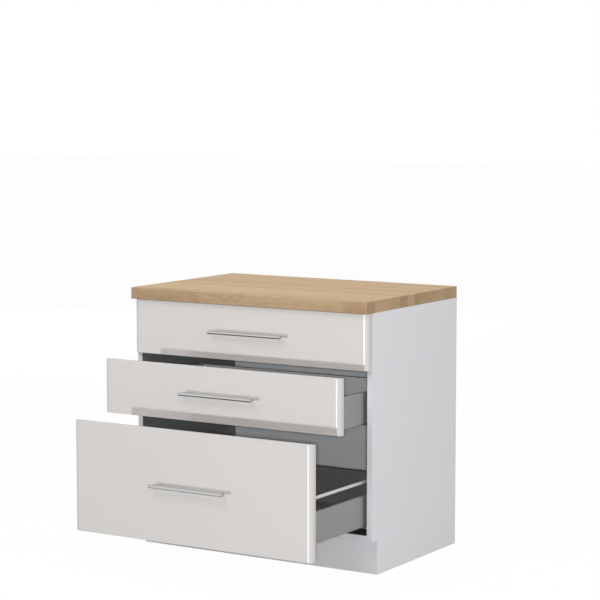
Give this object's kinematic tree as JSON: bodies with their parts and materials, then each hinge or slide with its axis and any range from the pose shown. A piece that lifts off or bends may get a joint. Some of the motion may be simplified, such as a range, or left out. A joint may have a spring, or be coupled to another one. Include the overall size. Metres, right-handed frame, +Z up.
{
  "type": "base cabinet with drawers",
  "caption": "Kitchen base cabinet on a plinth with an oak worktop, gloss white drawer fronts with bar handles, steel-sided drawers on nested runners and a deep drawer with gallery rails.",
  "frame": {"origin": "on the floor, in the middle of the underside of the plinth board: half way across the cabinet and half way through the board's thickness", "axes": "+X to the right seen from the front, +Y from the fronts to the wall, +Z up"},
  "size_m": [0.9, 0.944, 0.87],
  "materials": {
    "oak": "oiled oak staves, satin",
    "white_board": "white melamine-faced board, matt",
    "back_board": "grey-faced hardboard, matt",
    "gloss_front": "high-gloss warm white",
    "dark_board": "anthracite melamine-faced board, matt",
    "grey_board": "grey melamine-faced board, matt",
    "grey_steel": "grey powder coat",
    "zinc_steel": "zinc-plated, dull",
    "satin_steel": "satin"
  },
  "bodies": {
    "cabinet": {"side_panel_left": "white_board", "side_panel_right": "white_board", "bottom_panel": "white_board", "plinth_board": "white_board", "front_stretcher": "white_board", "rear_stretcher": "white_board", "back_panel": "back_board", "worktop": "oak", "top_cabinet_rail_left": "zinc_steel", "top_cabinet_rail_right": "zinc_steel", "middle_cabinet_rail_left": "zinc_steel", "middle_cabinet_rail_right": "zinc_steel", "bottom_cabinet_rail_left": "zinc_steel", "bottom_cabinet_rail_right": "zinc_steel"},
    "top_drawer": {"top_front": "gloss_front", "top_handle": "satin_steel", "top_base": "dark_board", "top_back": "grey_board", "top_drawer_rail_left": "zinc_steel", "top_side_left": "grey_steel", "top_front_bracket_left": "zinc_steel", "top_rear_bracket_left": "zinc_steel", "top_drawer_rail_right": "zinc_steel", "top_side_right": "grey_steel", "top_front_bracket_right": "zinc_steel", "top_rear_bracket_right": "zinc_steel"},
    "top_middle_rails": {"top_middle_rail_left": "zinc_steel", "top_middle_rail_right": "zinc_steel"},
    "middle_drawer": {"middle_front": "gloss_front", "middle_handle": "satin_steel", "middle_base": "dark_board", "middle_back": "grey_board", "middle_drawer_rail_left": "zinc_steel", "middle_side_left": "grey_steel", "middle_front_bracket_left": "zinc_steel", "middle_rear_bracket_left": "zinc_steel", "middle_drawer_rail_right": "zinc_steel", "middle_side_right": "grey_steel", "middle_front_bracket_right": "zinc_steel", "middle_rear_bracket_right": "zinc_steel"},
    "middle_middle_rails": {"middle_middle_rail_left": "zinc_steel", "middle_middle_rail_right": "zinc_steel"},
    "bottom_drawer": {"bottom_front": "gloss_front", "bottom_handle": "satin_steel", "bottom_base": "dark_board", "bottom_back": "dark_board", "bottom_drawer_rail_left": "zinc_steel", "bottom_side_left": "grey_steel", "bottom_front_bracket_left": "zinc_steel", "bottom_rear_bracket_left": "zinc_steel", "gallery_rail_left": "satin_steel", "bottom_drawer_rail_right": "zinc_steel", "bottom_side_right": "grey_steel", "bottom_front_bracket_right": "zinc_steel", "bottom_rear_bracket_right": "zinc_steel", "gallery_rail_right": "satin_steel"},
    "bottom_middle_rails": {"bottom_middle_rail_left": "zinc_steel", "bottom_middle_rail_right": "zinc_steel"}
  },
  "joints": [
    {"name": "top_drawer_slide", "type": "slide", "parent": "cabinet", "child": "top_drawer", "axis": [0, -1, 0], "range_m": [0, 0.47]},
    {"name": "top_rail_slide", "type": "slide", "parent": "cabinet", "child": "top_middle_rails", "axis": [0, -1, 0], "range_m": [0, 0.235]},
    {"name": "middle_drawer_slide", "type": "slide", "parent": "cabinet", "child": "middle_drawer", "axis": [0, -1, 0], "range_m": [-0.166, 0.304]},
    {"name": "middle_rail_slide", "type": "slide", "parent": "cabinet", "child": "middle_middle_rails", "axis": [0, -1, 0], "range_m": [-0.083, 0.152]},
    {"name": "bottom_drawer_slide", "type": "slide", "parent": "cabinet", "child": "bottom_drawer", "axis": [0, -1, 0], "range_m": [-0.33, 0.14]},
    {"name": "bottom_rail_slide", "type": "slide", "parent": "cabinet", "child": "bottom_middle_rails", "axis": [0, -1, 0], "range_m": [-0.165, 0.07]}
  ],
  "couplings": [
    {"joint": "top_rail_slide", "follows": "top_drawer_slide", "ratio": 0.5},
    {"joint": "middle_rail_slide", "follows": "middle_drawer_slide", "ratio": 0.5},
    {"joint": "bottom_rail_slide", "follows": "bottom_drawer_slide", "ratio": 0.5}
  ]
}
